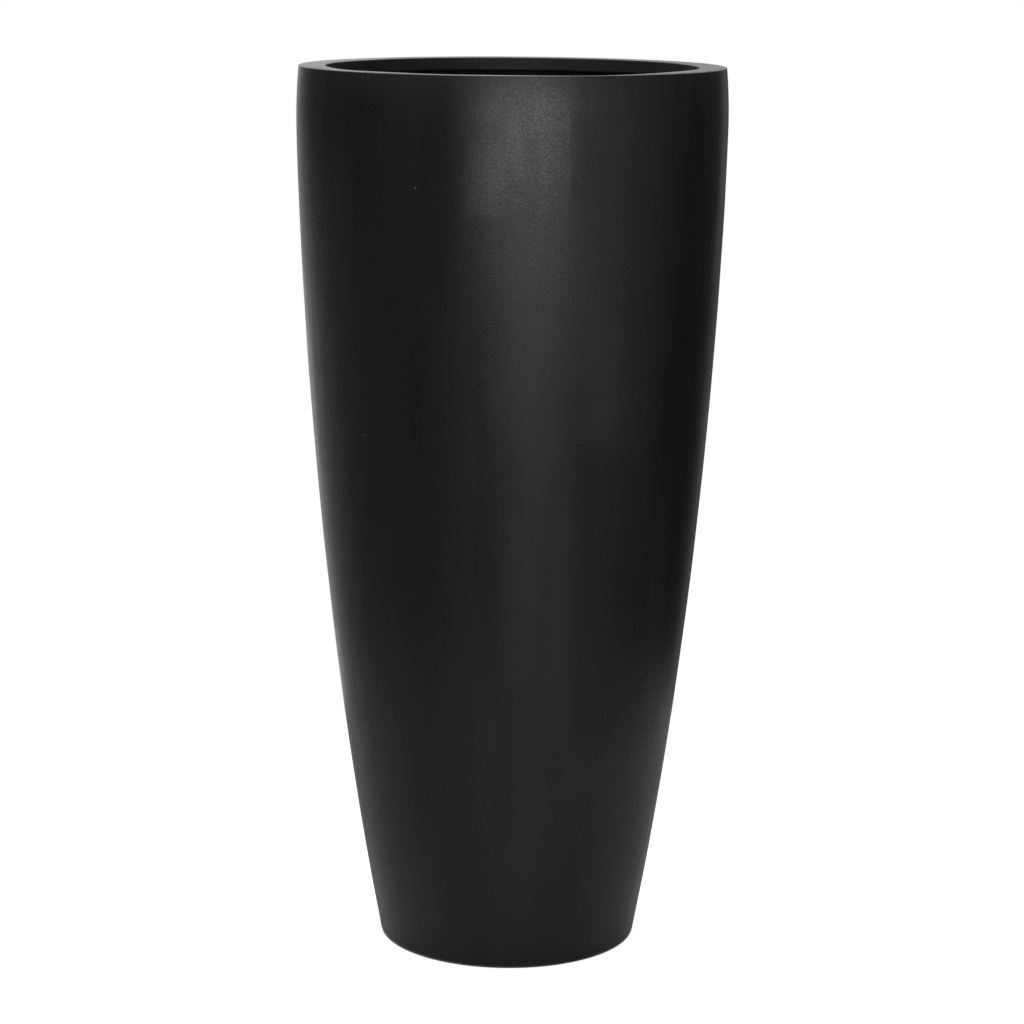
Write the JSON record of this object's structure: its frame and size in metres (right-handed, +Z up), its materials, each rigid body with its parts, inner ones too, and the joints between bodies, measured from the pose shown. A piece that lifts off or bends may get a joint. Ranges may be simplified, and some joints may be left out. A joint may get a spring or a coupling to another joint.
{
  "type": "tall floor planter",
  "caption": "Tall round fibreglass floor planter with a swelling tapered wall, a flat turned-in rim, an open top and a drained floor with a rubber plug.",
  "frame": {"origin": "middle of the base, on the ground", "axes": "+Z up along the planter's axis, which it is round about; +X to the right and -Y to the front as it is pictured"},
  "size_m": [0.48, 0.48, 1],
  "materials": {
    "black_finish": "semi-matte black gel coat over glass laminate, with a fine mottled grain",
    "raw_laminate": "dark pigmented chopped-strand laminate, brushed with resin, rough",
    "glass_tape": "woven glass tape wetted out with dark resin",
    "rubber": "black moulded rubber"
  },
  "bodies": {
    "planter": {"wall_shell": "black_finish", "rim_lip": "black_finish", "rim_joint_tape": "glass_tape", "foot_ring": "raw_laminate", "floor_panel": "raw_laminate", "floor_joint_tape": "glass_tape", "floor_pad_1": "rubber", "floor_pad_2": "rubber", "floor_pad_3": "rubber", "floor_pad_4": "rubber"},
    "plug": {"drain_plug": "rubber"}
  },
  "joints": [
    {"name": "plug_lift", "type": "slide", "parent": "planter", "child": "plug", "axis": [0, 0, 1], "range_m": [0, 1.05]}
  ]
}
